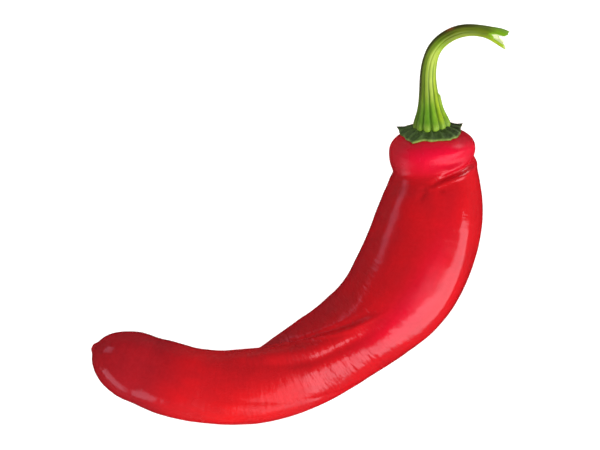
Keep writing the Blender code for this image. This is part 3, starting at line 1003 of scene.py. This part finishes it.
def skin_material():
    made, add, feed = shader_of("pepper_skin", 0.2, Specular_IOR_Level=0.5)
    blotch = noise_of(add, (0.09, 0.13, 0.13), 4.0)
    fleck = noise_of(add, (0.9, 0.9, 0.9), 2.0)
    colour = varied(add, attribute(add, "tint", "Color"), blotch, (0.72, 0.6, 0.8), 0.55)
    feed("Base Color", varied(add, colour, fleck, (0.88, 0.7, 0.7), 0.4))
    # Shallow lines round the fruit, deepest at its bend, and fine pores.
    lines = noise_of(add, (0.7, 0.16, 0.16), 3.0)
    pores = noise_of(add, (2.6, 2.6, 2.6), 2.0)
    deeper = mapped(add, attribute(add, "lined"), 0.0, 1.0, 0.2, 1.0)
    normal = bumped(add, lines, deeper, 0.00055)
    feed("Normal", bumped(add, pores, 0.35, 0.00003, Normal=normal))
    # The collar and the waist are rougher and shine less.
    dull = attribute(add, "dull")
    rough = mapped(add, blotch, 0.3, 0.7, 0.12, 0.22)
    rougher = add("ShaderNodeMath", {"operation": "MULTIPLY_ADD"}, i0=dull, i1=0.1, i2=rough)
    feed("Roughness", rougher.outputs["Value"])
    feed("Specular IOR Level", mapped(add, dull, 0.0, 1.0, 0.5, 0.22))
    return made


def calyx_material():
    made, add, feed = shader_of("calyx_leaf", 0.5, Specular_IOR_Level=0.35)
    mottle = noise_of(add, (0.9, 0.9, 0.9), 5.0)
    grain = noise_of(add, (3.2, 3.2, 3.2), 3.0)
    feed("Base Color", varied(add, attribute(add, "tint", "Color"), mottle, (0.45, 0.5, 0.4), 0.8))
    feed("Normal", bumped(add, grain, 0.6, 0.00025))
    return made


def stem_material():
    made, add, feed = shader_of("stem_stalk", 0.42, Specular_IOR_Level=0.4)
    fibre = noise_of(add, (0.12, 1.9, 1.9), 4.0)
    mottle = noise_of(add, (0.35, 0.6, 0.6), 3.0)
    colour = varied(add, attribute(add, "tint", "Color"), fibre, (0.56, 0.7, 0.36), 0.7)
    feed("Base Color", varied(add, colour, mottle, (0.72, 0.78, 0.55), 0.5))
    feed("Normal", bumped(add, fibre, 0.5, 0.0002))
    feed("Roughness", mapped(add, attribute(add, "cut"), 0.0, 1.0, 0.4, 0.7))
    return made


# ---- Putting the pepper together ----
PROBE_RINGS = 300
PROBE_SIDES = 120


def lowest_point(route):
    """The height of the lowest point of the fruit's body, without its fine detail."""
    along = np.linspace(SHOULDER_DEPTH, FRUIT_LENGTH - TIP_DEPTH, PROBE_RINGS)
    along, angle = np.meshgrid(along, angles(PROBE_SIDES), indexing="ij")
    radius = body_width(along.ravel() / FRUIT_LENGTH).reshape(along.shape) / 2
    return skin(route, along, angle, radius)[..., 2].min()


def corners(piece):
    points = np.array([v.co for v in piece.data.vertices])
    return points.min(axis=0), points.max(axis=0)


route = fruit_route()
route.points = route.points - np.array([0.0, 0.0, lowest_point(route) + CONTACT_DEPTH])
fruit = build_fruit(route)
calyx = build_calyx(route)
stem = build_stem(stem_route(route))

# The fruit goes where the CAD's fruit is, and the calyx and stem keep their places on it.
cad_low, cad_high = (np.array(corner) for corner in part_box("fruit"))
own_low, own_high = corners(fruit)
shift = (cad_low + cad_high - own_low - own_high) / 2
shift[2] = cad_low[2] - own_low[2]
for piece, node, finish in (
    (fruit, "fruit", skin_material()),
    (calyx, "calyx", calyx_material()),
    (stem, "stem", stem_material()),
):
    for vertex in piece.data.vertices:
        vertex.co += Vector(shift)
    piece.data.materials.append(finish)
    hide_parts(node)
    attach(piece, "root")


# ---- Floor, light and camera, in metres ----
FLOOR_HALF = 6.0
FLOOR_LEVEL = -0.00005  # a little under the pepper
FLOOR_GLOW = 0.3
FLOOR_WHITE = (0.95, 0.95, 0.95, 1.0)
WHITE = (1.0, 1.0, 1.0, 1.0)
# name, azimuth from +X and height above the floor in degrees, distance, size, radiance, colour
SOFTBOXES = (
    ("key_softbox", -45, 23, 0.46, (0.84, 0.31), 2.9, (1.0, 0.88, 1.0)),
    ("side_softbox", 155, 21, 0.45, (0.15, 0.13), 1.1, (0.95, 0.7, 1.0)),
    ("tip_card", -140, 14, 0.45, (0.34, 0.2), 1.6, (1.0, 0.75, 0.95)),
    ("collar_card", 48, 10, 0.45, (0.2, 0.14), 4.0, (1.0, 0.95, 1.0)),
)
SOFTBOX_CENTRE = 0.01  # the height that they are placed round
SOFTBOX_TARGET = (0.0, 0.0, 0.02)
SUN_STRENGTH = 3.0
SUN_SPREAD = 40
SUN_DIRECTION = (-0.5, 0.5, -0.75)
# The room is brighter near the horizon: (height of a direction, strength)
ROOM_LOW = (0.12, 1.05)
ROOM_HIGH = (0.4, 0.42)
CAMERA_HEIGHT = 3.2
CAMERA_LENS = 596.6
CAMERA_SENSOR = 36


def build_floor():
    mesh = bpy.data.meshes.new("floor")
    outline = ((-1, -1), (1, -1), (1, 1), (-1, 1))
    mesh.from_pydata([(x * FLOOR_HALF, y * FLOOR_HALF, FLOOR_LEVEL) for x, y in outline], [], [(0, 1, 2, 3)])
    made = bpy.data.objects.new("floor", mesh)
    bpy.context.scene.collection.objects.link(made)
    looks = {"Base_Color": FLOOR_WHITE, "Emission_Color": WHITE, "Emission_Strength": FLOOR_GLOW}
    mesh.materials.append(shader_of("white_floor", 0.9, Specular_IOR_Level=0.0, **looks)[0])
    return made


def softbox(name, place, target, size, radiance, colour):
    """A rectangle of light at a place, facing a target, that gives that radiance."""
    lamp = bpy.data.lights.new(name, "AREA")
    lamp.shape = "RECTANGLE"
    lamp.size, lamp.size_y = size
    lamp.energy = radiance * math.pi * size[0] * size[1]
    lamp.color = colour
    made = bpy.data.objects.new(name, lamp)
    made.location = place
    made.rotation_euler = (Vector(target) - Vector(place)).to_track_quat("-Z", "Y").to_euler()
    made.visible_camera = False
    bpy.context.scene.collection.objects.link(made)
    return made


floor = build_floor()
floor.visible_glossy = False
floor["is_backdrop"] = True
scene = bpy.context.scene
scene.view_settings.view_transform = "Standard"
scene.view_settings.look = "None"

for name, azimuth, height, away, size, radiance, colour in SOFTBOXES:
    a, e = math.radians(azimuth), math.radians(height)
    outwards = Vector((math.cos(a) * math.cos(e), math.sin(a) * math.cos(e), math.sin(e)))
    place = away * outwards + Vector((0.0, 0.0, SOFTBOX_CENTRE))
    lamp = softbox(name, place, SOFTBOX_TARGET, size, radiance, colour)
    lamp.visible_diffuse = False

sun = bpy.data.lights.new("room_light", "SUN")
sun.energy = SUN_STRENGTH
sun.angle = math.radians(SUN_SPREAD)
sun.use_shadow = False
sun_object = bpy.data.objects.new("room_light", sun)
sun_object.rotation_euler = Vector(SUN_DIRECTION).to_track_quat("-Z", "Y").to_euler()
sun_object.visible_glossy = False
scene.collection.objects.link(sun_object)

world = bpy.data.worlds.new("room")
scene.world = world
world.use_nodes = True
tree = world.node_tree
backdrop = tree.nodes["Background"]
direction = tree.nodes.new("ShaderNodeTexCoord")
split = tree.nodes.new("ShaderNodeSeparateXYZ")
ramp = tree.nodes.new("ShaderNodeMapRange")
tree.links.new(direction.outputs["Generated"], split.inputs[0])
tree.links.new(split.outputs["Z"], ramp.inputs["Value"])
ramp.inputs["From Min"].default_value, ramp.inputs["To Min"].default_value = ROOM_LOW
ramp.inputs["From Max"].default_value, ramp.inputs["To Max"].default_value = ROOM_HIGH
tree.links.new(ramp.outputs["Result"], backdrop.inputs["Strength"])
backdrop.inputs["Color"].default_value = WHITE
world.cycles_visibility.glossy = False

camera_data = bpy.data.cameras.new("camera")
camera_data.lens = CAMERA_LENS
camera_data.sensor_width = CAMERA_SENSOR
camera = bpy.data.objects.new("camera", camera_data)
scene.collection.objects.link(camera)
scene.camera = camera
low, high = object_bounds()
middle = (low + high) / 2
camera.location = (middle.x, middle.y, CAMERA_HEIGHT)
